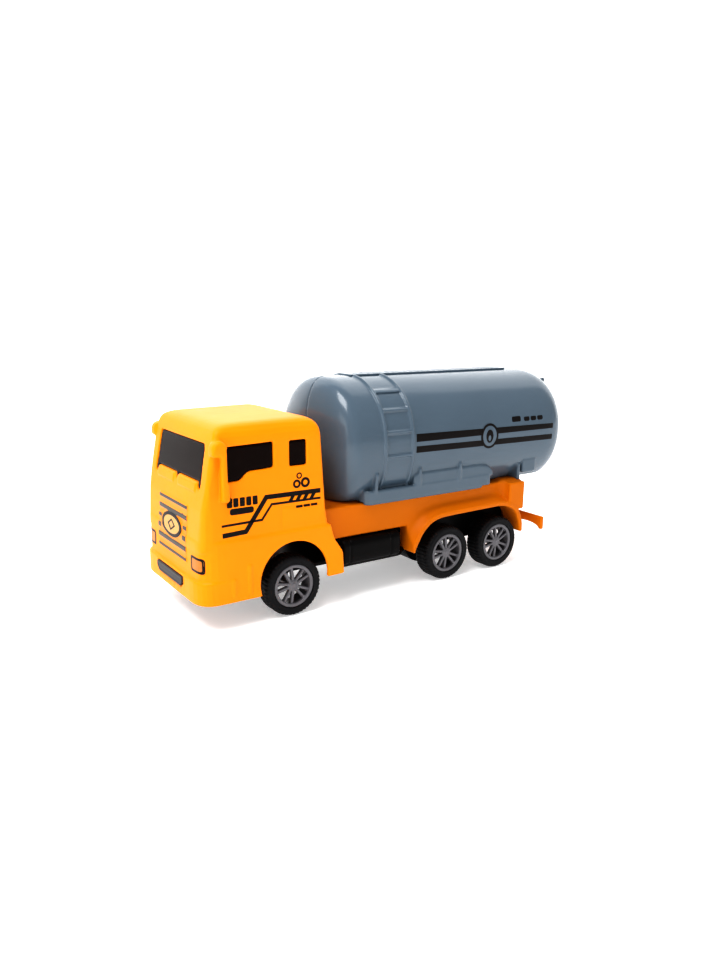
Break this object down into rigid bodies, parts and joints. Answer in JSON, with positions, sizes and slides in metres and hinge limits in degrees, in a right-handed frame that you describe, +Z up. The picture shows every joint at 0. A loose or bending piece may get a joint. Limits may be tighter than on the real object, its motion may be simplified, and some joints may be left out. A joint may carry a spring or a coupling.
{
  "type": "toy tanker truck",
  "caption": "Cab-over toy tanker truck in moulded plastic: round tank with side ladder, open-spoked free-rolling wheels and a geared friction motor on the middle axle.",
  "frame": {"origin": "middle of the footprint of the whole truck, on the ground under the tyres", "axes": "+Z up, the truck faces -Y, +X is the truck's own left-hand side"},
  "size_m": [0.0568, 0.178, 0.0824],
  "materials": {
    "orange_plastic": "semi-gloss orange-yellow moulding",
    "black_plastic": "satin black moulding",
    "dark_glazing": "glossy near-black window moulding",
    "plate_plastic": "blank dark plate",
    "grey_plastic": "glossy blue-grey moulding",
    "tyre": "soft black",
    "silver_plastic": "satin silver-grey moulding",
    "steel": "bright steel",
    "white_plastic": "natural white nylon"
  },
  "bodies": {
    "truck_body": {"base_plate": "black_plastic", "bumper_plate": "plate_plastic", "cab_glazing": "dark_glazing", "cab_screw_left": "steel", "cab_screw_right": "steel", "cab_shell": "orange_plastic", "deck_frame": "orange_plastic", "deck_screw_left_1": "steel", "deck_screw_left_2": "steel", "deck_screw_right_1": "steel", "deck_screw_right_2": "steel", "idler_pin": "steel", "motor_case_left": "black_plastic", "motor_case_right": "black_plastic", "tank_half_left": "grey_plastic", "tank_half_right": "grey_plastic", "tank_screw_left_1": "steel", "tank_screw_left_2": "steel", "tank_screw_right_1": "steel", "tank_screw_right_2": "steel", "tank_walkway": "grey_plastic"},
    "front_wheels": {"axle_front": "steel", "hub_front_left": "silver_plastic", "hub_front_right": "silver_plastic", "tyre_front_left": "tyre", "tyre_front_right": "tyre"},
    "middle_wheels": {"axle_middle": "steel", "hub_middle_left": "silver_plastic", "hub_middle_right": "silver_plastic", "tyre_middle_left": "tyre", "tyre_middle_right": "tyre", "drive_gear": "white_plastic"},
    "rear_wheels": {"axle_rear": "steel", "hub_rear_left": "silver_plastic", "hub_rear_right": "silver_plastic", "tyre_rear_left": "tyre", "tyre_rear_right": "tyre"},
    "idler": {"idler_gear": "white_plastic"},
    "flywheel_set": {"flywheel_pinion": "steel", "flywheel": "steel"}
  },
  "joints": [
    {"name": "front_axle_spin", "type": "hinge", "parent": "truck_body", "child": "front_wheels", "pos_m": [0, -0.05295, 0.011], "axis": [1, 0, 0], "continuous": true},
    {"name": "middle_axle_spin", "type": "hinge", "parent": "truck_body", "child": "middle_wheels", "pos_m": [0, 0.01825, 0.011], "axis": [1, 0, 0], "continuous": true},
    {"name": "rear_axle_spin", "type": "hinge", "parent": "truck_body", "child": "rear_wheels", "pos_m": [0, 0.04595, 0.011], "axis": [1, 0, 0], "continuous": true},
    {"name": "idler_spin", "type": "hinge", "parent": "truck_body", "child": "idler", "pos_m": [0, 0.02197, 0.01898], "axis": [1, 0, 0], "continuous": true},
    {"name": "flywheel_spin", "type": "hinge", "parent": "truck_body", "child": "flywheel_set", "pos_m": [0, 0.03058, 0.02299], "axis": [1, 0, 0], "continuous": true}
  ],
  "couplings": [
    {"joint": "idler_spin", "follows": "middle_axle_spin", "ratio": -2.2},
    {"joint": "flywheel_spin", "follows": "middle_axle_spin", "ratio": 6.16}
  ]
}
